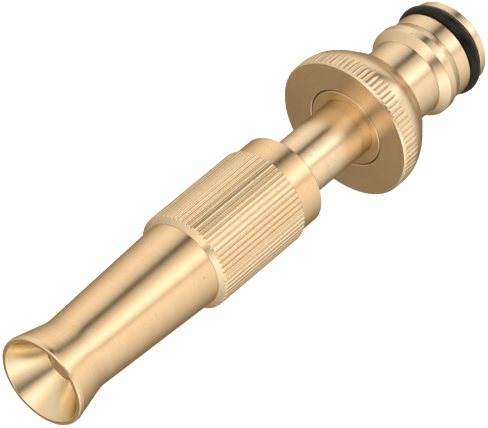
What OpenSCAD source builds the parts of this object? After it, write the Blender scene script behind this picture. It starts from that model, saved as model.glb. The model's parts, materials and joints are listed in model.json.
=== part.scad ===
// Straight hose spray nozzle: a sleeve that screws along a fixed stem, on a snap-in hose coupling.
// The nozzle's axis is X. The origin is the centre of the inlet end face, and water leaves towards +X.
// Every turned piece is drawn along Z, from its own rear end, and is laid along X at its station.

/* [Inlet nipple] */
// Diameter of the water way through the coupling
inlet_bore_d = 8.5; // [7.5:0.1:9.0]
// Length of the lip behind the seal ring
lip_l = 1.9; // [1.6:0.1:3.0]
// Width of the seal ring's groove
seal_groove_w = 2.8; // [2.7:0.1:3.4]
// Thickness of the seal ring
seal_ring_t = 2.5; // [2.3:0.05:2.5]
// Diameter of the smooth nipple
nipple_d = 15.9; // [15.6:0.1:16.2]
// Length of the smooth nipple in front of the seal ring
nipple_l = 3.1; // [2.0:0.1:6.0]
// Diameter of the locking ridge
ridge_d = 17.0; // [16.8:0.1:17.4]
// Length of the slope up to the locking ridge
ridge_slope_l = 1.5; // [1.0:0.1:2.5]
// Length of the locking ridge's crest
ridge_l = 1.5; // [1.2:0.1:2.5]
// Length of the slope down to the neck
ridge_flank_l = 1.3; // [0.8:0.1:2.0]
// Diameter of the neck behind the cone
neck_d = 14.1; // [13.6:0.1:14.6]
// Length of the neck
neck_l = 7.7; // [6.0:0.1:10.0]

/* [Knurled disc] */
// Diameter of the back cone where it meets the neck
cone_d = 19.0; // [17.5:0.1:20.0]
// Length of the back cone
cone_l = 5.4; // [4.0:0.1:7.0]
// Diameter over the disc's knurl
disc_d = 26.2; // [24.0:0.1:30.0]
// Length of the disc's rim, with its front chamfer
disc_l = 3.8; // [3.0:0.1:6.0]
// Number of teeth in the disc's knurl
disc_teeth = 79; // [60:1:90]

/* [Stem] */
// Diameter of the smooth tube
tube_d = 10.5; // [10.3:0.1:10.6]
// Length of tube that shows when the nozzle is shut
tube_shown_l = 16.1; // [12.0:0.1:22.0]
// Diameter of the water way through the stem
stem_bore_d = 6.4; // [5.6:0.1:6.6]
// Diameter of the threaded head
head_d = 12.9; // [12.7:0.1:12.9]
// Diameter of the stem in front of its head
nose_d = 8.8; // [8.6:0.1:9.0]
// Diameter of each side port
port_d = 2.4; // [1.6:0.1:3.0]
// Number of side ports
port_count = 4; // [3:1:6]

/* [Sleeve] */
// Diameter of the smooth band on the gland nut
band_d = 16.8; // [16.4:0.1:17.2]
// Length of the smooth band
band_l = 5.1; // [4.8:0.1:7.0]
// Diameter over the grip's knurl
grip_d = 18.0; // [17.4:0.1:18.6]
// Length of the grip, with its front shoulder
grip_l = 21.0; // [20.0:0.1:26.0]
// Number of teeth in the grip's knurl
grip_teeth = 58; // [44:1:64]
// Depth of both knurls
knurl_depth = 0.38; // [0.2:0.02:0.4]
// How far the sleeve runs forward from shut to full open
travel = 4.0; // [2.0:0.5:4.0]

/* [Outlet barrel] */
// Diameter of the barrel where it leaves the grip
barrel_back_d = 15.6; // [15.2:0.1:16.0]
// Diameter of the barrel's waist
barrel_waist_d = 13.4; // [13.0:0.1:14.5]
// Length from the grip to the waist
barrel_l = 26.0; // [26.0:0.1:32.0]
// Diameter of the mouth's rim
mouth_d = 16.6; // [15.8:0.1:17.6]
// Length of the flare from the waist to the rim
flare_l = 7.7; // [6.0:0.1:9.0]
// Length of the rim's straight band
mouth_band_l = 0.9; // [0.6:0.1:1.6]
// Diameter of the funnel at the rim
funnel_d = 15.0; // [14.0:0.1:15.2]
// Depth of the funnel
funnel_depth = 6.0; // [5.6:0.1:6.6]
// Diameter of the throat
throat_d = 7.8; // [7.4:0.1:8.0]

/* [Hidden] */
$fn = 96;

brass = [0.80, 0.66, 0.44];
dark_brass = [0.68, 0.53, 0.33];
black_rubber = [0.06, 0.06, 0.06];

// Radial gaps: between a turning piece and its seat, and between pieces that are screwed tight.
running_gap = 0.05;
thread_gap = 0.02;
// Space between a seal ring and the end of its groove.
ring_side_gap = 0.15;
edge_chamfer = 0.3;
cut_over = 1;

// Coupling stations along the axis
seal_groove_x = lip_l;
nipple_x = seal_groove_x + seal_groove_w;
ridge_slope_x = nipple_x + nipple_l;
ridge_x = ridge_slope_x + ridge_slope_l;
ridge_flank_x = ridge_x + ridge_l;
neck_x = ridge_flank_x + ridge_flank_l;
cone_x = neck_x + neck_l;
disc_x = cone_x + cone_l;
face_x = disc_x + disc_l;
disc_chamfer = 0.35;
// How far the disc's face falls towards the bush
face_dish = 0.35;
lip_chamfer = 0.5;
seal_floor_r = 6.2;

// Bush and washer in the coupling's front socket
socket_r = 7.25;
bush_r = socket_r - thread_gap;
bush_l = 5.8;
washer_t = 1.5;
washer_hole_r = 4.8;
bush_x = face_x - face_dish - bush_l;
washer_x = bush_x - washer_t;
tail_r = 4.9;
tail_l = 3.8;
bush_mouth_r = 6.9;
bush_mouth_l = 0.4;
// The joint between bush and disc is a fine V, cut by a bevel on each.
joint_bevel = 0.2;

// Sleeve stations when shut
band_x = face_x + tube_shown_l;
grip_x = band_x + band_l;
barrel_x = grip_x + grip_l;
waist_x = barrel_x + barrel_l;
mouth_band_x = waist_x + flare_l;
mouth_x = mouth_band_x + mouth_band_l;

// Gland nut
nut_spigot_r = 7.4;
nut_spigot_l = 3.0;
gland_bore_r = tube_d / 2 + running_gap;
gland_ring_r = 0.85;
gland_groove_w = 2 * (gland_ring_r + ring_side_gap);
gland_groove_x = (band_l - gland_groove_w) / 2;
gland_groove_r = gland_bore_r + 2 * gland_ring_r;

// Stem head, which the gland nut stops at full open
stop_gap = 0.1;
head_l = 7.0;
head_x = grip_x + nut_spigot_l + travel + stop_gap;
head_end_x = head_x + head_l;
head_ring_r = 0.75;
head_groove_w = 2 * (head_ring_r + ring_side_gap);
head_land_l = 0.6;
head_groove_x = head_end_x - head_land_l - head_groove_w;
head_groove_r = head_d / 2 - 2 * head_ring_r;

// Barrel spigot inside the grip, which stays put when the travel is shortened
spigot_gap = 0.3;
longest_travel = 4.0;
spigot_x = head_end_x + spigot_gap + longest_travel - travel;
spigot_r = 7.4;
spigot_ring_r = 0.6;
spigot_groove_w = 2 * (spigot_ring_r + ring_side_gap);
spigot_groove_x = 0.8;
spigot_groove_r = spigot_r - 2 * spigot_ring_r;

// Throat, its seat and the plug that closes it
throat_l = 2.5;
seat_l = 2.0;
chamber_r = 5.2;
throat_x = mouth_x - funnel_depth - throat_l;
seat_x = throat_x - seat_l;
seat_gap = 3.9;
nose_end_x = seat_x - seat_gap;
plug_spigot_l = 4.0;
plug_body_l = 4.3;
plug_cone_l = 1.3;
plug_nose_l = 2.6;
plug_tip_l = 0.6;
plug_tip_drop = 0.6;
nose_gap = 0.2;
plug_nose_r = throat_d / 2 - nose_gap;
plug_ring_r = 0.6;
plug_land_l = 0.6;
plug_groove_w = 2 * (plug_ring_r + ring_side_gap);
plug_groove_x = nose_end_x + plug_body_l + plug_cone_l + plug_land_l;
plug_groove_r = throat_d / 2 - running_gap - 2 * plug_ring_r;
port_back = 6;
port_x = nose_end_x - port_back;

// Flare: a slight crease at the waist, then a fillet into a cone
flare_start_slope = 0.06;
flare_fillet_l = 2.4;
flare_steps = 6;

// Knurl tooth shape, as shares of one pitch
crest_share = 0.34;
root_share = 0.16;
// How far a bevel runs below the knurl's roots, and how far the turned outline stands off its crests
root_clear = 0.07;
crest_clear = 0.4;
// Length of the bevelled shoulder where the grip falls to the barrel
shoulder_l = 0.85;

// Lays a piece that is drawn along Z on the nozzle's axis, with its rear end at station x.
module at(x) {
    translate([x, 0, 0]) rotate([0, 90, 0]) children();
}

// Solid of revolution about Z from [radius, height] points.
module turned(points) {
    rotate_extrude() polygon(points);
}

// Plain hole of radius r from height z, l long.
module hole(r, z, l) {
    translate([0, 0, z]) cylinder(r = r, h = l);
}

// Seal ring of section radius section_r, centred at height z on the circle of radius mid_r.
module seal_ring(mid_r, section_r, z) {
    translate([0, 0, z]) rotate_extrude() translate([mid_r, 0]) circle(r = section_r, $fn = 48);
}

// Outline of a straight knurl: flat crests and narrow flat roots.
function knurl_outline(r, depth, teeth) = [
    for (i = [0 : teeth - 1])
        let (mid = i * 360 / teeth, crest = 180 * crest_share / teeth, root = 180 * (1 - root_share) / teeth)
            each [
                (r - depth) * [cos(mid - root), sin(mid - root)],
                r * [cos(mid - crest), sin(mid - crest)],
                r * [cos(mid + crest), sin(mid + crest)],
                (r - depth) * [cos(mid + root), sin(mid + root)]
            ]
];

// Point where the line from a to b, carried on past b, reaches radius r.
function carried(a, b, r) = b + (b - a) * (r - b[0]) / (b[0] - a[0]);

// Straight knurl of crest radius r and length l, trimmed to a turned outline that is wider than its crests.
module knurled(points, r, teeth, l) {
    intersection() {
        translate([0, 0, -cut_over])
            linear_extrude(height = l + 2 * cut_over) polygon(knurl_outline(r, knurl_depth, teeth));
        turned(points);
    }
}

// Nipple, locking ridge, neck, back cone and knurled disc in one turned piece.
module coupling_body() {
    lip_r = nipple_d / 2;
    bore_r = inlet_bore_d / 2;
    disc_r = disc_d / 2;
    head_end = cone_l + disc_l;
    face_z = head_end - face_dish;
    rim_clear_r = disc_r + crest_clear;
    face_edge = [disc_r - disc_chamfer, head_end];
    color(brass) at(0) difference() {
        union() {
            turned([
                [0, 0], [lip_r - lip_chamfer, 0], [lip_r, lip_chamfer],
                [lip_r, seal_groove_x], [seal_floor_r, seal_groove_x],
                [seal_floor_r, nipple_x], [lip_r, nipple_x],
                [lip_r, ridge_slope_x], [ridge_d / 2, ridge_x], [ridge_d / 2, ridge_flank_x],
                [neck_d / 2, neck_x], [neck_d / 2, cone_x + cut_over], [0, cone_x + cut_over]
            ]);
            translate([0, 0, cone_x])
                knurled([
                    [0, 0], [cone_d / 2, 0], carried([cone_d / 2, 0], [disc_r, cone_l], rim_clear_r),
                    carried(face_edge, [disc_r, head_end - disc_chamfer], rim_clear_r),
                    face_edge, [socket_r + joint_bevel, face_z],
                    [socket_r, face_z - joint_bevel], [0, face_z - joint_bevel]
                ], disc_r, disc_teeth, head_end);
        }
        hole(bore_r, -cut_over, face_x);
        hole(socket_r, washer_x, face_x);
    }
}

// O-ring that a hose connector closes on.
module coupling_seal_ring() {
    color(black_rubber) at(0)
        seal_ring(seal_floor_r + seal_ring_t / 2, seal_ring_t / 2, seal_groove_x + seal_groove_w / 2);
}

// Threaded bush that holds the stem in the coupling, flush with its front face.
module stem_bush() {
    mouth_z = bush_l - bush_mouth_l;
    tube_r = tube_d / 2 + thread_gap;
    color(dark_brass) at(bush_x) difference() {
        turned([
            [0, 0], [bush_r, 0], [bush_r, bush_l - joint_bevel], [bush_r - joint_bevel, bush_l], [0, bush_l]
        ]);
        hole(tail_r, -cut_over, bush_l);
        hole(tube_r, tail_l, bush_l);
        translate([0, 0, mouth_z]) cylinder(r1 = tube_r, r2 = bush_mouth_r, h = bush_mouth_l);
    }
}

// Flat washer between the bush and the floor of its socket.
module bush_washer() {
    color(black_rubber) at(washer_x) difference() {
        cylinder(r = bush_r, h = washer_t);
        hole(washer_hole_r, -cut_over, washer_t + 2 * cut_over);
    }
}

// Fixed stem: threaded tail, smooth tube, threaded head with a seal groove, and a nose with side ports.
module stem_tube() {
    stem_l = nose_end_x - bush_x;
    tube_r = tube_d / 2;
    head_r = head_d / 2;
    nose_r = nose_d / 2;
    z0 = bush_x;
    color(brass) at(bush_x) difference() {
        turned([
            [0, 0], [tail_r - thread_gap, 0], [tail_r - thread_gap, tail_l], [tube_r, tail_l],
            [tube_r, head_x - z0], [head_r, head_x - z0],
            [head_r, head_groove_x - z0], [head_groove_r, head_groove_x - z0],
            [head_groove_r, head_groove_x + head_groove_w - z0], [head_r, head_groove_x + head_groove_w - z0],
            [head_r, head_end_x - z0], [nose_r, head_end_x - z0], [nose_r, stem_l], [0, stem_l]
        ]);
        hole(stem_bore_d / 2, -cut_over, stem_l + 2 * cut_over);
        for (i = [0 : port_count - 1])
            rotate([0, 0, i * 360 / port_count]) translate([0, 0, port_x - z0]) rotate([0, 90, 0])
                cylinder(d = port_d, h = nose_d);
    }
}

// O-ring on the stem's head.
module stem_seal_ring() {
    color(black_rubber) at(0)
        seal_ring(head_d / 2 - head_ring_r, head_ring_r, head_groove_x + head_groove_w / 2);
}

// Plug in the end of the stem, whose nose closes the throat.
module spray_plug() {
    spigot_end = plug_spigot_l;
    cone_z = spigot_end + plug_body_l;
    nose_z = cone_z + plug_cone_l;
    tip_z = nose_z + plug_nose_l;
    groove_z = plug_groove_x - nose_end_x + plug_spigot_l;
    plug_spigot_r = stem_bore_d / 2 - thread_gap;
    color(brass) at(nose_end_x - plug_spigot_l) turned([
        [0, 0], [plug_spigot_r, 0], [plug_spigot_r, spigot_end], [nose_d / 2, spigot_end],
        [nose_d / 2, cone_z], [plug_nose_r, nose_z],
        [plug_nose_r, groove_z], [plug_groove_r, groove_z],
        [plug_groove_r, groove_z + plug_groove_w], [plug_nose_r, groove_z + plug_groove_w],
        [plug_nose_r, tip_z], [plug_nose_r - plug_tip_drop, tip_z + plug_tip_l], [0, tip_z + plug_tip_l]
    ]);
}

// O-ring on the plug's nose.
module plug_seal_ring() {
    color(black_rubber) at(0)
        seal_ring(plug_groove_r + plug_ring_r, plug_ring_r, plug_groove_x + plug_groove_w / 2);
}

// Smooth nut that closes the sleeve round the tube.
module gland_nut() {
    band_r = band_d / 2;
    nut_l = band_l + nut_spigot_l;
    color(brass) at(band_x) difference() {
        turned([
            [0, 0], [band_r - edge_chamfer, 0], [band_r, edge_chamfer], [band_r, band_l],
            [nut_spigot_r, band_l], [nut_spigot_r, nut_l], [0, nut_l]
        ]);
        hole(gland_bore_r, -cut_over, nut_l + 2 * cut_over);
        hole(gland_groove_r, gland_groove_x, gland_groove_w);
    }
}

// O-ring inside the gland nut.
module gland_seal_ring() {
    color(black_rubber) at(band_x)
        seal_ring(gland_bore_r + gland_ring_r, gland_ring_r, gland_groove_x + gland_groove_w / 2);
}

// Knurled sleeve with the running thread inside and a bevelled shoulder in front.
module grip_sleeve() {
    grip_r = grip_d / 2;
    grip_clear_r = grip_r + crest_clear;
    screw_r = head_d / 2 + running_gap;
    rear_edge = [grip_r - knurl_depth - root_clear, 0];
    front_edge = [barrel_back_d / 2, grip_l];
    color(brass) at(grip_x) difference() {
        knurled([
            [0, 0], rear_edge, carried(rear_edge, [grip_r, edge_chamfer], grip_clear_r),
            carried(front_edge, [grip_r, grip_l - shoulder_l], grip_clear_r), front_edge, [0, grip_l]
        ], grip_r, grip_teeth, grip_l);
        hole(screw_r, -cut_over, grip_l + 2 * cut_over);
        hole(nut_spigot_r + thread_gap, -cut_over, nut_spigot_l + cut_over);
        hole(spigot_r + thread_gap, spigot_x - grip_x, grip_l);
    }
}

// O-ring between the barrel's spigot and the grip.
module barrel_seal_ring() {
    color(black_rubber) at(spigot_x)
        seal_ring(spigot_groove_r + spigot_ring_r, spigot_ring_r, spigot_groove_x + spigot_groove_w / 2);
}

// Flare outline from the waist: radius grows along a parabola, then straight along the cone to the rim.
function flare_points(z0) =
    let (
        rise = (mouth_d - barrel_waist_d) / 2,
        fillet_rise = flare_start_slope * flare_fillet_l / 2,
        slope = (rise - fillet_rise) / (flare_l - flare_fillet_l / 2),
        bend = (slope - flare_start_slope) / (2 * flare_fillet_l)
    )
    [
        for (i = [1 : flare_steps])
            let (z = flare_fillet_l * i / flare_steps)
                [barrel_waist_d / 2 + flare_start_slope * z + bend * z * z, z0 + z]
    ];

// Tapered barrel with a spigot behind, a flared mouth, and the funnel, throat and seat inside.
module outlet_barrel() {
    back_z = barrel_x - spigot_x;
    waist_z = waist_x - spigot_x;
    end_z = mouth_x - spigot_x;
    rim_r = mouth_d / 2;
    color(brass) at(spigot_x) difference() {
        turned(concat(
            [
                [0, 0], [spigot_r, 0], [spigot_r, spigot_groove_x], [spigot_groove_r, spigot_groove_x],
                [spigot_groove_r, spigot_groove_x + spigot_groove_w],
                [spigot_r, spigot_groove_x + spigot_groove_w], [spigot_r, back_z],
                [barrel_back_d / 2, back_z], [barrel_waist_d / 2, waist_z]
            ],
            flare_points(waist_z),
            [[rim_r, end_z - mouth_band_l], [rim_r, end_z], [0, end_z]]
        ));
        hole(chamber_r, -cut_over, seat_x - spigot_x + cut_over);
        turned([
            [0, seat_x - spigot_x], [chamber_r, seat_x - spigot_x], [throat_d / 2, throat_x - spigot_x],
            [throat_d / 2, end_z - funnel_depth], [funnel_d / 2, end_z], [funnel_d / 2, end_z + cut_over],
            [0, end_z + cut_over]
        ]);
    }
}

coupling_body();
coupling_seal_ring();
stem_bush();
bush_washer();
stem_tube();
stem_seal_ring();
spray_plug();
plug_seal_ring();
gland_nut();
gland_seal_ring();
grip_sleeve();
barrel_seal_ring();
outlet_barrel();
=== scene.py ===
import json
import math
import random

import bpy
from mathutils import Matrix, Vector


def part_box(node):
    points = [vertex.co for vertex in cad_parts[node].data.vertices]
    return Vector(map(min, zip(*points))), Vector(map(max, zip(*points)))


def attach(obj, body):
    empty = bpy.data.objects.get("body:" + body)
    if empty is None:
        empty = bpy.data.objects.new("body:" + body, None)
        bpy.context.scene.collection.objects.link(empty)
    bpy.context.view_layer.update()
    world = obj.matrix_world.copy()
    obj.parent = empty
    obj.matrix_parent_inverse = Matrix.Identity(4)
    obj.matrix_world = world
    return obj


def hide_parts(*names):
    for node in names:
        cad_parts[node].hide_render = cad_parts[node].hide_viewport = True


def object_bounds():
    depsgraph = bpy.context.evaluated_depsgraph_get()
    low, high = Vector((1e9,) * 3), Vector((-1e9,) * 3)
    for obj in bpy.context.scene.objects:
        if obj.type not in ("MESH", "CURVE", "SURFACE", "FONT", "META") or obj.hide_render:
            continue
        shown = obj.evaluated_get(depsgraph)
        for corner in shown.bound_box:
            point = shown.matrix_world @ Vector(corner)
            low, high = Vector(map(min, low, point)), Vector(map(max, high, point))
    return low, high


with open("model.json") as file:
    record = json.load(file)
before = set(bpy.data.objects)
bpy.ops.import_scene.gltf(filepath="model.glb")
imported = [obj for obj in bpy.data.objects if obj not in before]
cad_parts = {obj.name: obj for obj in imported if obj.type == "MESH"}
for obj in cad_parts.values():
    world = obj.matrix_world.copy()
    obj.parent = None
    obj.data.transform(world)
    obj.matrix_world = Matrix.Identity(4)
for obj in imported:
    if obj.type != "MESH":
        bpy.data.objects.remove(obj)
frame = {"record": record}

MM = 0.001
CAD_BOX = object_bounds()
RECORD = frame["record"]
MOUNTS = {mount["name"]: mount for mount in RECORD["mounts"]}

# Mesh fineness: steps in each rounded corner and each longer bevel or curve, and segments round a piece.
CORNER_STEPS = 5
CHAMFER_STEPS = 6
SHOULDER_STEPS = 12
FLARE_STEPS = 12
BACK_STEPS = 16
SEGMENTS = 256
RING_SIDES = 40
PORT_SIDES = 24

# Rounded corners: distance of the holding points from the arc, their share of the room where it is short,
# the share of an edge that a corner may use, the turn in radians that counts as straight, and how far into
# the half wave of wear the arc starts.
HOLD = 0.03
HOLD_SHARE = 0.2
CORNER_ROOM = 0.45
STRAIGHT = 0.02
EDGE_FADE = 0.15

# Fillet radii in millimetres, from the keenest edge to the roundest.
KEEN = 0.05
FINE = 0.08
SHARP = 0.1
NEAT = 0.12
CRISP = 0.15
SMALL = 0.2
EASED = 0.25
SOFT = 0.3
RIM_FILLET = 0.32
RIDGE_EDGE_FILLET = 0.35
BLUNT = 0.4
NECK_FILLET = 0.6
NIPPLE_FOOT_FILLET = 1.2

# Edge values for the brass: 1 is worn bright, -1 is painted shade in a concave corner, and JOINT_DARK is the
# deeper painted shade at the bottom of a joint line.
PLAIN = 0.0
WORN = 1.0
SHADED_CORNER = -1.0
JOINT_DARK = -3.0

# Sizes in millimetres that the frame's boxes don't give, with the names they have in the CAD source.
NIPPLE_R = 7.95
NIPPLE_L = 3.1
SEAL_GROOVE_W = 2.8
LIP_L = 1.9
LIP_CHAMFER = 0.5
RIDGE_SLOPE_L = 1.5
RIDGE_FLANK_L = 1.3
NECK_R = 7.05
NECK_L = 7.7
CONE_R = 9.5
CONE_L = 5.4
DISC_CHAMFER = 0.35
FACE_DISH = 0.35
EDGE_CHAMFER = 0.3
SHOULDER_L = 0.85
TUBE_R = 5.25
TAIL_R = 4.88
TAIL_L = 3.8
BUSH_BORE_R = 5.27
BUSH_TAIL_BORE_R = 4.9
BUSH_MOUTH_R = 6.9
BUSH_MOUTH_L = 0.4
SOCKET_R = 7.25
WASHER_HOLE_R = 4.8
STEM_BORE_R = 3.2
HEAD_L = 7.0
RING_SIDE_GAP = 0.15
NOSE_R = 4.4
PORT_R = 1.2
PORT_COUNT = 4
PORT_BACK = 6.0
STOP_GAP = 0.1
TRAVEL = 4.0
NUT_SPIGOT_R = 7.4
NUT_SPIGOT_L = 3.0
GLAND_BORE_R = 5.3
THREAD_GAP = 0.02
SCREW_BORE_R = 6.5
SPIGOT_R = 7.4
BARREL_BACK_R = 7.8
BARREL_WAIST_R = 6.7
FLARE_L = 7.7
FLARE_START_SLOPE = 0.06
FLARE_FILLET_L = 2.4
MOUTH_BAND_L = 0.9
FUNNEL_R = 7.5
FUNNEL_DEPTH = 6.0
THROAT_R = 3.9
THROAT_L = 2.5
SEAT_L = 2.0
CHAMBER_R = 5.2
PLUG_SPIGOT_L = 4.0
PLUG_BODY_L = 4.3
PLUG_CONE_L = 1.3
PLUG_NOSE_L = 2.6
PLUG_NOSE_R = 3.7
PLUG_TIP_DROP = 0.6

# Details in millimetres that only this model has: the rounded back of the disc, the bevels of the joint line
# round the bush, the row of points that holds a chamfer's edge, and the overcut of the port cutters.
BACK_ROUND_START = 1.8
BACK_ROUND_L = 5.0
JOINT_BEVEL = 0.2
JOINT_LIP = 0.05
EDGE_HOLD = 0.1
FACE_HOLD = 0.01
PORT_OVERCUT = 1.0

# Straight knurls. Places are shares of the pitch from the middle of a crest, and drops are shares of the
# depth: the crest's sides, the faint crease along its top, and the root, which wanders and varies in depth.
DISC_TEETH = 79
GRIP_TEETH = 58
KNURL_DEPTH = 0.38
ROOT_CLEAR = 0.07
CREST_SIDE = [(0.37, 0.16), (0.22, 0.04)]
CREASE_PLACE = 0.06
ROOT = [(0.43, 0.75), (0.47, 1.0), (0.53, 1.0), (0.57, 0.75)]
ROOT_WANDER = 0.04
ROOT_SHALLOWEST = 0.5


def span(node):
    """Rear station, front station and outer radius of a CAD node, in millimetres."""
    low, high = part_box(node)
    return low.x / MM, high.x / MM, high.z / MM


def ring_groove(node, floor):
    """Rear and front station of the groove that an O-ring's node sits in, and the radius of its floor."""
    rear, front, outer = span(node)
    floor_r = outer + THREAD_GAP if floor == "outside" else outer - (front - rear)
    return rear - RING_SIDE_GAP, front + RING_SIDE_GAP, floor_r


# ---------------------------------------------------------------- turned meshes


def rounded(corners, closed=True):
    """Outline through (x, r, fillet) corners, as [(x, r, edge)]: convex corners are worn, concave ones get
    painted shade.

    A fourth number on a corner is its own edge value. The outline runs with the metal on its right, as seen
    with x to the right and r up.
    """
    outline = []
    count = len(corners)
    for i, (x, r, fillet, *mark) in enumerate(corners):
        here = Vector((x, r))
        if not closed and i in (0, count - 1):
            outline.append((x, r, PLAIN))
            continue
        before = Vector(corners[i - 1][:2]) - here
        after = Vector(corners[(i + 1) % count][:2]) - here
        turn = before.angle(after)
        if fillet <= 0 or math.pi - turn < STRAIGHT:
            outline.append((x, r, mark[0] if mark else PLAIN))
            continue
        reach = fillet / math.tan(turn / 2)
        room = CORNER_ROOM * min(before.length, after.length)
        hold = min(HOLD, room * HOLD_SHARE)
        if reach + HOLD > room:
            reach = room - hold
            fillet = reach * math.tan(turn / 2)
        back, ahead = before.normalized(), after.normalized()
        middle = here + (back + ahead).normalized() * (fillet / math.sin(turn / 2))
        start = here + back * reach - middle
        end = here + ahead * reach - middle
        sweep = start.angle_signed(end)
        convex = back.x * ahead.y - back.y * ahead.x > 0
        # Concave corners get painted shade, darker than the brass round them.
        edge = mark[0] if mark else (WORN if convex else SHADED_CORNER)
        outline.append((*(here + back * (reach + hold)), PLAIN))
        for step in range(CORNER_STEPS + 1):
            share = step / CORNER_STEPS
            arm = start.copy()
            arm.rotate(Matrix.Rotation(-sweep * share, 2))
            wave = EDGE_FADE + (1 - 2 * EDGE_FADE) * share
            outline.append((*(middle + arm), edge * math.sin(math.pi * wave)))
        outline.append((*(here + ahead * (reach + hold)), PLAIN))
    return outline


def split(low, high, parts):
    """Inner points that divide the line between two (x, r) corners into equal parts."""
    return [
        (low[0] + (high[0] - low[0]) * k / parts, low[1] + (high[1] - low[1]) * k / parts, PLAIN)
        for k in range(1, parts)
    ]


def knurl_angles(teeth, crest_r, crease, deepest, seed):
    """Angles round a straight knurl and the radius at each.

    crease and deepest are the deepest crease and root, as shares of the knurl's full depth.
    """
    chance = random.Random(seed)
    rows = []
    for tooth in range(teeth):
        root = deepest * chance.uniform(ROOT_SHALLOWEST, 1.0)
        dent = crease * chance.random()
        shift = chance.uniform(-ROOT_WANDER, ROOT_WANDER)
        shape = [(-place, drop) for place, drop in CREST_SIDE]
        shape += [(-CREASE_PLACE, dent), (CREASE_PLACE, dent)]
        shape += reversed(CREST_SIDE)
        shape += [(place + shift, share * root) for place, share in ROOT]
        for place, drop in shape:
            rows.append((2 * math.pi * (tooth + place) / teeth, crest_r - KNURL_DEPTH * drop))
    return rows


def turned(name, outline, rows=None, solid=False):
    """Mesh object turned about X from an outline in millimetres.

    rows gives the angles and a radius limit at each. A solid piece's outline starts and ends on the axis.
    """
    if rows is None:
        rows = [(2 * math.pi * k / SEGMENTS, math.inf) for k in range(SEGMENTS)]
    points, edges, rings = [], [], []
    for x, r, edge in outline:
        if r == 0:
            rings.append([len(points)])
            points.append((x * MM, 0.0, 0.0))
            edges.append(edge)
            continue
        rings.append(list(range(len(points), len(points) + len(rows))))
        for angle, limit in rows:
            radius = min(r, limit) * MM
            points.append((x * MM, radius * math.sin(angle), radius * math.cos(angle)))
            edges.append(edge)
    pairs = list(zip(rings, rings[1:]))
    if not solid:
        pairs.append((rings[-1], rings[0]))
    faces = []
    count = len(rows)
    for ring, following in pairs:
        for k in range(count):
            after = (k + 1) % count
            a, b = ring[k % len(ring)], ring[after % len(ring)]
            c, d = following[after % len(following)], following[k % len(following)]
            corner = [a, d, c, b]
            faces.append([v for j, v in enumerate(corner) if v != corner[j - 1]])
    mesh = bpy.data.meshes.new(name)
    mesh.from_pydata(points, [], faces)
    mesh.validate()
    mesh.update()
    mesh.shade_smooth()
    attribute = mesh.attributes.new("edge", "FLOAT", "POINT")
    attribute.data.foreach_set("value", edges)
    piece = bpy.data.objects.new(name, mesh)
    bpy.context.scene.collection.objects.link(piece)
    return piece


def ring_outline(node):
    """Round section of an O-ring, from its CAD box."""
    rear, front, outer = span(node)
    section = (front - rear) / 2
    middle_x = (rear + front) / 2
    middle_r = outer - section
    outline = []
    for k in range(RING_SIDES):
        turn = 2 * math.pi * k / RING_SIDES
        outline.append((middle_x + section * math.cos(turn), middle_r - section * math.sin(turn), PLAIN))
    return outline


# ---------------------------------------------------------------- materials


class Graph:
    """Short way to lay out shader nodes in a node tree."""

    def __init__(self, tree):
        self.tree = tree

    def add(self, kind, **settings):
        item = self.tree.nodes.new(kind)
        for key, value in settings.items():
            setattr(item, key, value)
        return item

    def link(self, source, target):
        self.tree.links.new(source, target)

    def math(self, operation, first, second=None):
        item = self.add("ShaderNodeMath", operation=operation)
        for socket, value in zip(item.inputs, (first, second)):
            if value is None:
                continue
            if isinstance(value, (int, float)):
                socket.default_value = value
            else:
                self.link(value, socket)
        return item.outputs[0]

    def remap(self, value, low, high, to_low, to_high):
        """Straight ramp from to_low at low to to_high at high, level beyond both."""
        item = self.add("ShaderNodeMapRange", clamp=True)
        self.link(value, item.inputs["Value"])
        for name, number in zip(("From Min", "From Max", "To Min", "To Max"), (low, high, to_low, to_high)):
            item.inputs[name].default_value = number
        return item.outputs["Result"]

    def mix(self, share, first, second, blend="MIX"):
        item = self.add("ShaderNodeMix", data_type="RGBA", blend_type=blend)
        self.link(share, item.inputs["Factor"])
        for socket, value in ((item.inputs[6], first), (item.inputs[7], second)):
            if isinstance(value, tuple):
                socket.default_value = (*value, 1.0)
            else:
                self.link(value, socket)
        return item.outputs[2]

    def noise(self, vector, scale, detail=2.0, roughness=0.5, w=None):
        item = self.add("ShaderNodeTexNoise", noise_dimensions="3D" if w is None else "4D")
        item.inputs["Scale"].default_value = scale
        item.inputs["Detail"].default_value = detail
        item.inputs["Roughness"].default_value = roughness
        self.link(vector, item.inputs["Vector"])
        if w is not None:
            self.link(w, item.inputs["W"])
        return item.outputs["Fac"]

    def separate(self, vector):
        item = self.add("ShaderNodeSeparateXYZ")
        self.link(vector, item.inputs[0])
        return item.outputs

    def bump(self, height, strength, distance):
        item = self.add("ShaderNodeBump")
        item.inputs["Strength"].default_value = strength
        item.inputs["Distance"].default_value = distance
        self.link(height, item.inputs["Height"])
        return item.outputs["Normal"]


def new_surface(name):
    """A new material with one Principled shader, the graph to build it with, and the shader's sockets."""
    material = bpy.data.materials.new(name)
    material.use_nodes = True
    graph = Graph(material.node_tree)
    graph.tree.nodes.clear()
    output = graph.add("ShaderNodeOutputMaterial")
    shader = graph.add("ShaderNodeBsdfPrincipled")
    graph.link(shader.outputs["BSDF"], output.inputs["Surface"])
    return material, graph, shader.inputs


# Colours inside a brass: specks of dirt, worn edges, painted shade in concave corners, darker painted shade
# at the bottom of a joint line, the cone of the funnel, the painted shade that a forward face is multiplied
# by, and the tint at grazing angles.
SPECK = (0.16, 0.10, 0.05)
WORN_BRASS = (0.98, 0.87, 0.66)
CORNER_PAINTED_SHADE = (0.30, 0.19, 0.09)
JOINT_PAINTED_SHADE = (0.09, 0.055, 0.025)
FUNNEL_BRASS = (0.86, 0.75, 0.55)
FACE_PAINTED_SHADE = (0.86, 0.79, 0.72)
GRAZING_TINT = (0.82, 0.74, 0.62, 1.0)

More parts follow.
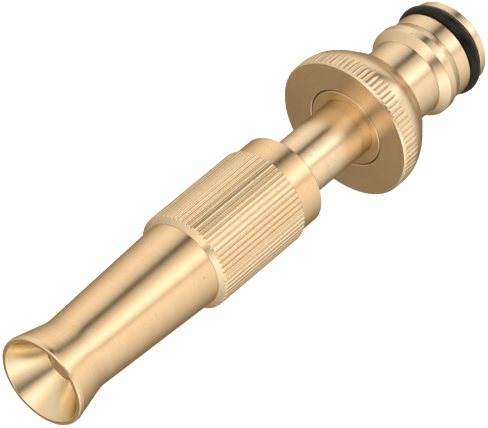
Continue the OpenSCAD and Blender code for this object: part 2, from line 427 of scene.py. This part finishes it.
# Tool marks: the spacing of the fine and coarse ones, how far round they wander, the depth and strength of
# the fine ones, and the radius inside which they no longer turn. Then the size of tarnish patches and specks.
FINE_PITCH = 0.16 * MM
COARSE_PITCH = 1.6 * MM
FINE_WANDER = 1.2
COARSE_WANDER = 0.8
MARK_DEPTH = 0.004 * MM
MARK_STRENGTH = 0.18
CORE_R = 0.1 * MM
PATCH_SIZE = 9 * MM
SPECK_SIZE = 0.6 * MM

# The part of the normal that points along X, as the funnel's cone begins and ends and as a face begins.
FUNNEL_BEGINS = (0.3, 0.45)
FUNNEL_ENDS = (0.6, 0.9)
FACE_BEGINS = (0.9, 0.99)

# How roughness varies over patches and marks, and how much rougher a face square to the axis is.
ROUGHNESS_DRIFT = (-0.02, 0.03)
FACE_ROUGHER = 0.14

# Rubber: size and depth of its grain, and size of the greasy smears.
GRAIN_SIZE = 0.18 * MM
GRAIN_DEPTH = 0.02 * MM
GRAIN_STRENGTH = 0.15
SMEAR_SIZE = 3.5 * MM


def turning_marks(graph, place, pitch, wander):
    """Noise in rings about X, pitch apart along the outline, that changes by wander on the way round."""
    x, y, z = graph.separate(place)
    radius = graph.math("SQRT", graph.math("ADD", graph.math("MULTIPLY", y, y), graph.math("MULTIPLY", z, z)))
    safe = graph.math("MAXIMUM", radius, CORE_R)
    across = graph.add("ShaderNodeCombineXYZ")
    graph.link(graph.math("MULTIPLY", x, 1 / pitch), across.inputs[0])
    graph.link(graph.math("MULTIPLY", radius, 1 / pitch), across.inputs[1])
    graph.link(graph.math("MULTIPLY", graph.math("DIVIDE", y, safe), wander), across.inputs[2])
    around = graph.math("MULTIPLY", graph.math("DIVIDE", z, safe), wander)
    return graph.noise(across.outputs[0], 1.0, detail=3.0, roughness=0.6, w=around)


def brass(name, light, dark, roughness, anisotropy=0.8):
    """Turned brass: rings of tool marks, patches of tarnish, bright worn edges, painted shade in inner
    corners and joint lines, and painted shade on faces square to the axis.
    """
    material, graph, shader = new_surface(name)
    place = graph.add("ShaderNodeTexCoord").outputs["Object"]
    fine = turning_marks(graph, place, FINE_PITCH, FINE_WANDER)
    coarse = turning_marks(graph, place, COARSE_PITCH, COARSE_WANDER)
    patches = graph.noise(place, 1 / PATCH_SIZE, detail=4.0, roughness=0.6)
    specks = graph.noise(place, 1 / SPECK_SIZE, detail=1.0, roughness=0.4)
    edge = graph.add("ShaderNodeAttribute", attribute_name="edge").outputs["Fac"]
    # Mask of painted shade, from the edge values below zero.
    painted_shade = graph.math("MULTIPLY", edge, -1.0)
    forward = graph.separate(graph.add("ShaderNodeNewGeometry").outputs["True Normal"])[0]
    into_funnel = graph.remap(forward, *FUNNEL_BEGINS, 0.0, 1.0)
    past_funnel = graph.remap(forward, *FUNNEL_ENDS, 0.0, 1.0)
    funnel = graph.math("SUBTRACT", into_funnel, past_funnel)
    sideways = graph.math("ABSOLUTE", forward)

    tone = graph.math("ADD", graph.math("MULTIPLY", coarse, 0.4), graph.math("MULTIPLY", patches, 0.6))
    colour = graph.mix(graph.remap(tone, 0.38, 0.62, 0.0, 1.0), dark, light)
    colour = graph.mix(graph.remap(fine, 0.4, 0.75, 0.0, 0.12), colour, tuple(0.7 * c for c in dark))
    colour = graph.mix(graph.remap(specks, 0.76, 0.80, 0.0, 0.5), colour, SPECK)
    colour = graph.mix(graph.remap(edge, 0.1, WORN, 0.0, 0.45), colour, WORN_BRASS)
    # Painted shade in concave corners and, darker still, at the bottom of joint lines.
    colour = graph.mix(graph.remap(painted_shade, 0.1, -SHADED_CORNER, 0.0, 0.5), colour, CORNER_PAINTED_SHADE)
    colour = graph.mix(graph.remap(painted_shade, -SHADED_CORNER, -JOINT_DARK, 0.0, 0.85), colour, JOINT_PAINTED_SHADE)
    colour = graph.mix(funnel, colour, FUNNEL_BRASS)
    # Painted shade: faces that point forward along the axis are darkened and browned.
    colour = graph.mix(graph.remap(forward, *FACE_BEGINS, 0.0, 1.0), colour, FACE_PAINTED_SHADE, "MULTIPLY")
    graph.link(colour, shader["Base Color"])

    patchy = graph.remap(patches, 0.3, 0.7, *ROUGHNESS_DRIFT)
    streaky = graph.remap(fine, 0.3, 0.7, *ROUGHNESS_DRIFT)
    faced = graph.remap(sideways, *FACE_BEGINS, roughness, roughness + FACE_ROUGHER)
    graph.link(graph.math("ADD", graph.math("ADD", patchy, streaky), faced), shader["Roughness"])
    graph.link(graph.bump(fine, MARK_STRENGTH, MARK_DEPTH), shader["Normal"])
    tangent = graph.add("ShaderNodeTangent", direction_type="RADIAL", axis="X")
    graph.link(tangent.outputs[0], shader["Tangent"])
    shader["Metallic"].default_value = 1.0
    shader["Specular Tint"].default_value = GRAZING_TINT
    shader["Anisotropic"].default_value = anisotropy
    shader["Anisotropic Rotation"].default_value = 0.25
    return material


def rubber(name, colour, roughness):
    """Moulded nitrile rubber: faint mottling, a fine grain and a smear of grease."""
    material, graph, shader = new_surface(name)
    place = graph.add("ShaderNodeTexCoord").outputs["Object"]
    grain = graph.noise(place, 1 / GRAIN_SIZE, detail=3.0, roughness=0.6)
    smear = graph.noise(place, 1 / SMEAR_SIZE, detail=3.0, roughness=0.5)
    greasy = tuple(1.9 * c + 0.003 for c in colour)
    graph.link(graph.mix(graph.remap(smear, 0.35, 0.65, 0.0, 1.0), colour, greasy), shader["Base Color"])
    graph.link(graph.remap(smear, 0.3, 0.7, roughness - 0.08, roughness + 0.1), shader["Roughness"])
    graph.link(graph.bump(grain, GRAIN_STRENGTH, GRAIN_DEPTH), shader["Normal"])
    shader["Specular IOR Level"].default_value = 0.2
    return material


def pale_floor():
    """Matt white floor with a faint mottle."""
    material, graph, shader = new_surface("pale_floor")
    place = graph.add("ShaderNodeTexCoord").outputs["Object"]
    mottle = graph.noise(place, 14.0, detail=3.0)
    graph.link(graph.mix(mottle, (0.90, 0.90, 0.90), (0.94, 0.94, 0.94)), shader["Base Color"])
    shader["Roughness"].default_value = 0.9
    shader["Specular IOR Level"].default_value = 0.1
    return material


# ---------------------------------------------------------------- pieces


def coupling_body():
    rear, front, disc_r = span("coupling_body")
    ring_rear, ring_front, ring_r = span("coupling_seal_ring")
    floor_r = ring_r - (ring_front - ring_rear)
    bore_r = MOUNTS["inlet_bore"]["dims"]["r_mm"]
    ridge = MOUNTS["coupling_ridge"]
    ridge_r = ridge["dims"]["r_mm"]
    ridge_l = ridge["dims"]["length_mm"]
    ridge_x = ridge["pos_m"][0] / MM - ridge_l / 2
    nipple_x = LIP_L + SEAL_GROOVE_W
    slope_x = nipple_x + NIPPLE_L
    neck_x = ridge_x + ridge_l + RIDGE_FLANK_L
    cone_x = neck_x + NECK_L
    disc_x = cone_x + CONE_L
    face_x = front - FACE_DISH
    socket_x = span("bush_washer")[0]
    body = rounded([
        (rear, bore_r, CRISP),
        (rear, NIPPLE_R - LIP_CHAMFER, CRISP), (rear + LIP_CHAMFER, NIPPLE_R, SMALL),
        (LIP_L, NIPPLE_R, CRISP), (LIP_L, floor_r, SOFT),
        (nipple_x, floor_r, SOFT), (nipple_x, NIPPLE_R, CRISP),
        (slope_x, NIPPLE_R, NIPPLE_FOOT_FILLET), (slope_x + RIDGE_SLOPE_L, ridge_r, NECK_FILLET),
        (ridge_x + ridge_l, ridge_r, RIDGE_EDGE_FILLET), (neck_x, NECK_R, NECK_FILLET),
        (cone_x, NECK_R, EASED), (cone_x, CONE_R, CRISP),
    ], closed=False)
    chamfer_low = (front, disc_r - DISC_CHAMFER)
    chamfer_high = (front - DISC_CHAMFER, disc_r)
    rim = [(front - DISC_CHAMFER - EDGE_HOLD, disc_r, PLAIN), (*chamfer_high, PLAIN)]
    rim += split(chamfer_high, chamfer_low, CHAMFER_STEPS)
    face = rounded([
        (front - FACE_HOLD, disc_r - DISC_CHAMFER + FACE_HOLD, PLAIN), (*chamfer_low, KEEN),
        (face_x, SOCKET_R + JOINT_BEVEL, KEEN, PLAIN),
        # The bottom of the joint line carries dark painted shade.
        (face_x - JOINT_LIP, SOCKET_R + JOINT_BEVEL - JOINT_LIP, 0.0, JOINT_DARK),
        (face_x - JOINT_BEVEL, SOCKET_R, 0.0, JOINT_DARK),
        (socket_x, SOCKET_R, SHARP), (socket_x, bore_r, SHARP), (rear, bore_r, 0.0),
    ], closed=False)
    outline = body[1:] + disc_back(cone_x, disc_x, disc_r) + rim + face[1:-1]
    rows = knurl_angles(DISC_TEETH, disc_r, crease=0.06, deepest=0.55, seed=11)
    return turned("coupling_body_turned", outline, rows)


def disc_back(cone_x, disc_x, disc_r):
    """Back of the disc: a parabola that leaves the rim level and runs into the line to the cone's rear."""
    end_x = disc_x + BACK_ROUND_START
    curve = (disc_r - CONE_R) / (BACK_ROUND_L * (2 * (end_x - cone_x) - BACK_ROUND_L))
    runs = [BACK_ROUND_L * (1 - step / BACK_STEPS) for step in range(BACK_STEPS + 1)]
    return [(end_x - run, disc_r - curve * run * run, PLAIN) for run in runs]


def stem_bush():
    rear, front, outer = span("stem_bush")
    tail_x = rear + TAIL_L
    return turned("stem_bush_turned", rounded([
        (rear, BUSH_TAIL_BORE_R, SHARP), (rear, outer, SMALL),
        # The bottom of the joint line carries dark painted shade.
        (front - JOINT_BEVEL, outer, 0.0, JOINT_DARK),
        (front - JOINT_LIP, outer - JOINT_BEVEL + JOINT_LIP, 0.0, JOINT_DARK),
        (front, outer - JOINT_BEVEL, KEEN, PLAIN),
        (front, BUSH_MOUTH_R, FINE), (front - BUSH_MOUTH_L, BUSH_BORE_R, SHARP),
        (tail_x, BUSH_BORE_R, KEEN), (tail_x, BUSH_TAIL_BORE_R, KEEN),
    ]))


def bush_washer():
    rear, front, outer = span("bush_washer")
    return turned("bush_washer_ring", rounded([
        (rear, WASHER_HOLE_R, CRISP), (rear, outer, CRISP),
        (front, outer, CRISP), (front, WASHER_HOLE_R, CRISP),
    ]))


def stem_tube():
    rear, front, head_r = span("stem_tube")
    tail_x = rear + TAIL_L
    head_x = span("gland_nut")[1] + TRAVEL + STOP_GAP
    head_end = head_x + HEAD_L
    groove_x, groove_end, floor_r = ring_groove("stem_seal_ring", "inside")
    tube = turned("stem_tube_turned", rounded([
        (rear, STEM_BORE_R, SHARP), (rear, TAIL_R, SOFT), (tail_x, TAIL_R, SHARP), (tail_x, TUBE_R, CRISP),
        (head_x, TUBE_R, SOFT), (head_x, head_r, BLUNT),
        (groove_x, head_r, CRISP), (groove_x, floor_r, SMALL),
        (groove_end, floor_r, SMALL), (groove_end, head_r, CRISP),
        (head_end, head_r, SMALL), (head_end, NOSE_R, SOFT),
        (front, NOSE_R, SOFT), (front, STEM_BORE_R, SHARP),
    ]))
    return drilled(tube, front - PORT_BACK)


def drilled(tube, station):
    """The stem with its side ports cut through, two at a time."""
    for pair in range(PORT_COUNT // 2):
        turn = 2 * math.pi * pair / PORT_COUNT
        points = []
        for reach in (-NOSE_R - PORT_OVERCUT, NOSE_R + PORT_OVERCUT):
            for k in range(PORT_SIDES):
                angle = 2 * math.pi * k / PORT_SIDES
                side = PORT_R * math.sin(angle)
                y = reach * math.sin(turn) + side * math.cos(turn)
                z = reach * math.cos(turn) - side * math.sin(turn)
                points.append(((station + PORT_R * math.cos(angle)) * MM, y * MM, z * MM))
        faces = [list(range(PORT_SIDES)), list(range(2 * PORT_SIDES - 1, PORT_SIDES - 1, -1))]
        for k in range(PORT_SIDES):
            after = (k + 1) % PORT_SIDES
            faces.append([k, k + PORT_SIDES, after + PORT_SIDES, after])
        mesh = bpy.data.meshes.new("port")
        mesh.from_pydata(points, [], faces)
        cutter = bpy.data.objects.new("port", mesh)
        bpy.context.scene.collection.objects.link(cutter)
        cut = tube.modifiers.new("port", "BOOLEAN")
        cut.operation = "DIFFERENCE"
        cut.solver = "EXACT"
        cut.object = cutter
        evaluated = tube.evaluated_get(bpy.context.evaluated_depsgraph_get())
        result = bpy.data.meshes.new_from_object(evaluated)
        tube.modifiers.clear()
        tube.data = result
        bpy.data.objects.remove(cutter)
    return tube


def spray_plug():
    rear, front, _ = span("spray_plug")
    groove_x, groove_end, floor_r = ring_groove("plug_seal_ring", "inside")
    thread_r = STEM_BORE_R - THREAD_GAP
    spigot_x = rear + PLUG_SPIGOT_L
    cone_x = spigot_x + PLUG_BODY_L
    nose_x = cone_x + PLUG_CONE_L
    tip_x = nose_x + PLUG_NOSE_L
    outline = rounded([
        (rear, 0.0, 0.0), (rear, thread_r, SOFT), (spigot_x, thread_r, SHARP), (spigot_x, NOSE_R, SOFT),
        (cone_x, NOSE_R, SMALL), (nose_x, PLUG_NOSE_R, SMALL),
        (groove_x, PLUG_NOSE_R, SHARP), (groove_x, floor_r, CRISP),
        (groove_end, floor_r, CRISP), (groove_end, PLUG_NOSE_R, SHARP),
        (tip_x, PLUG_NOSE_R, SMALL), (front, PLUG_NOSE_R - PLUG_TIP_DROP, EASED), (front, 0.0, 0.0),
    ], closed=False)
    return turned("spray_plug_turned", outline, solid=True)


def gland_nut():
    rear, front, band_r = span("gland_nut")
    groove_x, groove_end, floor_r = ring_groove("gland_seal_ring", "outside")
    shoulder_x = front - NUT_SPIGOT_L
    return turned("gland_nut_turned", rounded([
        (rear, GLAND_BORE_R, SHARP),
        (rear, band_r - EDGE_CHAMFER, SHARP), (rear + EDGE_CHAMFER, band_r, NEAT),
        (shoulder_x, band_r, NEAT), (shoulder_x, NUT_SPIGOT_R, SHARP), (front, NUT_SPIGOT_R, SMALL),
        (front, GLAND_BORE_R, SHARP),
        (groove_end, GLAND_BORE_R, KEEN), (groove_end, floor_r, SMALL),
        (groove_x, floor_r, SMALL), (groove_x, GLAND_BORE_R, KEEN),
    ]))


def grip_sleeve():
    rear, front, grip_r = span("grip_sleeve")
    shoulder_x = front - SHOULDER_L
    spigot_x = span("outlet_barrel")[0]
    nut_end = rear + NUT_SPIGOT_L
    nut_r = NUT_SPIGOT_R + THREAD_GAP
    barrel_r = SPIGOT_R + THREAD_GAP
    bore = rounded([
        (front, BARREL_BACK_R, 0.0), (front, barrel_r, SHARP), (spigot_x, barrel_r, SHARP),
        (spigot_x, SCREW_BORE_R, SHARP), (nut_end, SCREW_BORE_R, SHARP), (nut_end, nut_r, SHARP),
        (rear, nut_r, SHARP),
    ], closed=False)
    chamfer_low = (rear, grip_r - KNURL_DEPTH - ROOT_CLEAR)
    chamfer_high = (rear + EDGE_CHAMFER, grip_r)
    back = [(*chamfer_low, PLAIN)] + split(chamfer_low, chamfer_high, CHAMFER_STEPS)
    outside = [(*chamfer_high, PLAIN), (rear + EDGE_CHAMFER + EDGE_HOLD, grip_r, PLAIN)]
    outside += [(shoulder_x - EDGE_HOLD, grip_r, PLAIN), (shoulder_x, grip_r, PLAIN)]
    shoulder = split((shoulder_x, grip_r), (front, BARREL_BACK_R), SHOULDER_STEPS)
    shoulder.append((front, BARREL_BACK_R, PLAIN))
    rows = knurl_angles(GRIP_TEETH, grip_r, crease=0.22, deepest=1.0, seed=5)
    return turned("grip_sleeve_knurled", back + outside + shoulder + bore[1:], rows)


def flare(waist_x, rim_r):
    """Start of the barrel's flare: a parabola that leaves a faint crease at the waist and ends straight."""
    rise = FLARE_START_SLOPE * FLARE_FILLET_L / 2
    slope = (rim_r - BARREL_WAIST_R - rise) / (FLARE_L - FLARE_FILLET_L / 2)
    bend = (slope - FLARE_START_SLOPE) / (2 * FLARE_FILLET_L)
    outline = []
    for step in range(1, FLARE_STEPS + 1):
        run = FLARE_FILLET_L * step / FLARE_STEPS
        outline.append((waist_x + run, BARREL_WAIST_R + FLARE_START_SLOPE * run + bend * run * run, 0.0))
    return outline


def outlet_barrel():
    rear, front, rim_r = span("outlet_barrel")
    back_x = span("grip_sleeve")[1]
    groove_x, groove_end, floor_r = ring_groove("barrel_seal_ring", "inside")
    band_x = front - MOUTH_BAND_L
    waist_x = band_x - FLARE_L
    throat_front = front - FUNNEL_DEPTH
    throat_x = throat_front - THROAT_L
    return turned("outlet_barrel_turned", rounded([
        (rear, CHAMBER_R, SHARP), (rear, SPIGOT_R, SMALL),
        (groove_x, SPIGOT_R, SHARP), (groove_x, floor_r, CRISP),
        (groove_end, floor_r, CRISP), (groove_end, SPIGOT_R, SHARP),
        (back_x, SPIGOT_R, KEEN), (back_x, BARREL_BACK_R, KEEN),
        (waist_x, BARREL_WAIST_R, 0.0), *flare(waist_x, rim_r),
        (band_x, rim_r, CRISP), (front, rim_r, RIM_FILLET), (front, FUNNEL_R, SMALL),
        (throat_front, THROAT_R, SMALL), (throat_x, THROAT_R, SMALL),
        (throat_x - SEAT_L, CHAMBER_R, SOFT),
    ]))


def place_piece(piece, node, body, material):
    """Gives a piece its material and its body, and hides the CAD node it stands for."""
    piece.data.materials.append(material)
    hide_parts(node)
    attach(piece, body)


def build():
    """Every piece, in its material and on its body."""
    satin = brass("satin_brass", (0.94, 0.76, 0.53), (0.89, 0.70, 0.47), 0.20)
    pale = brass("pale_brass", (0.915, 0.785, 0.60), (0.87, 0.73, 0.54), 0.20)
    knurled = brass("knurled_brass", (0.95, 0.81, 0.61), (0.91, 0.76, 0.55), 0.22, anisotropy=0.5)
    tube = brass("tube_brass", (0.95, 0.83, 0.64), (0.91, 0.78, 0.58), 0.20)
    bush = brass("bush_brass", (0.89, 0.72, 0.48), (0.82, 0.64, 0.42), 0.22)
    black = rubber("black_rubber", (0.004, 0.004, 0.004), 0.13)
    place_piece(coupling_body(), "coupling_body", "stem", pale)
    place_piece(stem_bush(), "stem_bush", "stem", bush)
    place_piece(bush_washer(), "bush_washer", "stem", black)
    place_piece(stem_tube(), "stem_tube", "stem", tube)
    place_piece(spray_plug(), "spray_plug", "stem", satin)
    place_piece(gland_nut(), "gland_nut", "sleeve", satin)
    place_piece(grip_sleeve(), "grip_sleeve", "sleeve", knurled)
    place_piece(outlet_barrel(), "outlet_barrel", "sleeve", satin)
    rings = {
        "coupling_seal_ring": "stem", "stem_seal_ring": "stem", "plug_seal_ring": "stem",
        "gland_seal_ring": "gland", "barrel_seal_ring": "sleeve",
    }
    for node, body in rings.items():
        place_piece(turned(node + "_round", ring_outline(node)), node, body, black)


# ---------------------------------------------------------------- studio


VIEW_AZIMUTH = math.radians(129.44)
VIEW_ELEVATION = math.radians(43.42)
VIEW_DISTANCE = 0.8
LENS = 359.4
SENSOR_WIDTH = 36.0
CLIP = (0.01, 20.0)
AIM_X = 53.2 * MM
SHIFT = (-0.01625, -0.0165)

FLOOR_SIZE = 6.0
OVERHEAD_HEIGHT = 2.0
OVERHEAD_SIZE = 2.4
OVERHEAD_POWER = 60.0

# The light tent's level by angle about X, from straight up towards +Y in degrees, behind the nozzle and
# ahead of it. Each has a bright strip and dark seams.
BACK_TENT = [
    (-180, 0.30), (-116, 0.42), (-96, 0.62), (-86, 0.74), (-66, 0.96), (-50, 1.08), (-36, 1.00), (-26, 0.86),
    (-18, 0.70), (-13, 0.50), (-8, 0.20), (-3, 0.10), (2, 0.28), (8, 0.56), (14, 0.74), (22, 0.95),
    (34, 1.34), (44, 1.60), (50, 1.50), (56, 1.24), (61, 1.00), (65, 0.78), (70, 1.02), (77, 1.12),
    (90, 1.10), (104, 1.02), (124, 0.84), (144, 0.64), (162, 0.44), (180, 0.30),
]
FRONT_TENT = [
    (-180, 0.55), (-146, 0.62), (-116, 0.55), (-97, 0.62), (-64, 0.84), (-40, 0.95), (-20, 0.98), (-2, 1.25),
    (16, 1.55), (30, 1.24), (40, 0.85), (49, 0.32), (56, 0.24), (63, 0.42), (72, 0.68), (88, 1.10),
    (108, 1.60), (130, 1.25), (148, 0.95), (165, 0.65), (180, 0.55),
]

# Share of the front tent by direction along X, and the dark card low down ahead: its angle, its half width
# in degrees, the directions along X where it fades in, and how much it takes off.
FRONT_BLEND = (-0.15, 0.25)
CARD_ANGLE = -146.0
CARD_WIDTH = 40.0
CARD_FADE = (0.42, 0.68)
CARD_DEPTH = 0.42

# Tints of the tent: on its plain parts, in its bright strips, and on the dark card.
TENT_TINT = (0.97, 0.84, 0.68)
STRIP_TINT = (0.97, 0.87, 0.78)
CARD_TINT = (1.0, 0.80, 0.56)
STRIP_LEVELS = (1.1, 1.6)


def camera():
    back = Vector((
        math.sin(VIEW_AZIMUTH) * math.cos(VIEW_ELEVATION),
        -math.cos(VIEW_AZIMUTH) * math.cos(VIEW_ELEVATION),
        math.sin(VIEW_ELEVATION),
    ))
    data = bpy.data.cameras.new("camera")
    data.lens = LENS
    data.sensor_width = SENSOR_WIDTH
    data.shift_x, data.shift_y = SHIFT
    data.clip_start, data.clip_end = CLIP
    eye = bpy.data.objects.new("camera", data)
    eye.location = Vector((AIM_X, 0, 0)) + back * VIEW_DISTANCE
    eye.rotation_mode = "QUATERNION"
    eye.rotation_quaternion = (-back).to_track_quat("-Z", "Y")
    bpy.context.scene.collection.objects.link(eye)
    bpy.context.scene.camera = eye


def overhead_light():
    """Soft light straight above, which whitens the floor and isn't mirrored in the brass."""
    data = bpy.data.lights.new("overhead", "AREA")
    data.shape = "SQUARE"
    data.size = OVERHEAD_SIZE
    data.energy = OVERHEAD_POWER
    data.use_shadow = False
    light = bpy.data.objects.new("overhead", data)
    light.location = (AIM_X, 0, OVERHEAD_HEIGHT)
    light.visible_camera = False
    light.visible_glossy = False
    bpy.context.scene.collection.objects.link(light)


def levels(graph, angle, stops):
    """The tent's level at an angle in degrees, from its (angle, level) stops."""
    ramp = graph.add("ShaderNodeValToRGB")
    graph.link(graph.remap(angle, -180.0, 180.0, 0.0, 1.0), ramp.inputs["Fac"])
    band = ramp.color_ramp
    brightest = max(level for _, level in stops)
    for index, (degrees, level) in enumerate(stops):
        position = (degrees + 180) / 360
        stop = band.elements[index] if index < 2 else band.elements.new(position)
        stop.position = position
        stop.color = (*[level / brightest] * 3, 1.0)
    return graph.math("MULTIPLY", ramp.outputs["Color"], brightest)


def tent(world):
    """Light tent round the nozzle: one set of strips and seams behind it, another ahead, and a dark card."""
    background = world.node_tree.nodes["Background"].inputs
    graph = Graph(world.node_tree)
    along, y, z = graph.separate(graph.add("ShaderNodeTexCoord").outputs["Generated"])
    angle = graph.math("MULTIPLY", graph.math("ARCTAN2", y, z), 180 / math.pi)
    ahead = graph.remap(along, *FRONT_BLEND, 0.0, 1.0)
    back, front = levels(graph, angle, BACK_TENT), levels(graph, angle, FRONT_TENT)
    level = graph.math("ADD", back, graph.math("MULTIPLY", graph.math("SUBTRACT", front, back), ahead))
    away = graph.math("DIVIDE", graph.math("SUBTRACT", angle, CARD_ANGLE), CARD_WIDTH)
    card = graph.math("EXPONENT", graph.math("MULTIPLY", graph.math("MULTIPLY", away, away), -1.0))
    shade = graph.math("MULTIPLY", card, graph.remap(along, *CARD_FADE, 0.0, CARD_DEPTH))
    level = graph.math("SUBTRACT", level, shade)
    graph.link(level, background["Strength"])
    tint = graph.mix(graph.remap(level, *STRIP_LEVELS, 0.0, 1.0), TENT_TINT, STRIP_TINT)
    graph.link(graph.mix(card, tint, CARD_TINT), background["Color"])


def studio():
    half = FLOOR_SIZE / 2
    bottom = CAD_BOX[0].z
    corners = [(-half, -half, bottom), (half, -half, bottom), (half, half, bottom), (-half, half, bottom)]
    mesh = bpy.data.meshes.new("floor")
    mesh.from_pydata(corners, [], [(0, 1, 2, 3)])
    mesh.materials.append(pale_floor())
    floor = bpy.data.objects.new("floor", mesh)
    floor.visible_glossy = False
    bpy.context.scene.collection.objects.link(floor)
    world = bpy.data.worlds.new("studio")
    world.use_nodes = True
    bpy.context.scene.world = world
    tent(world)
    overhead_light()
    bpy.context.scene.view_settings.view_transform = "Standard"


camera()
build()
studio()
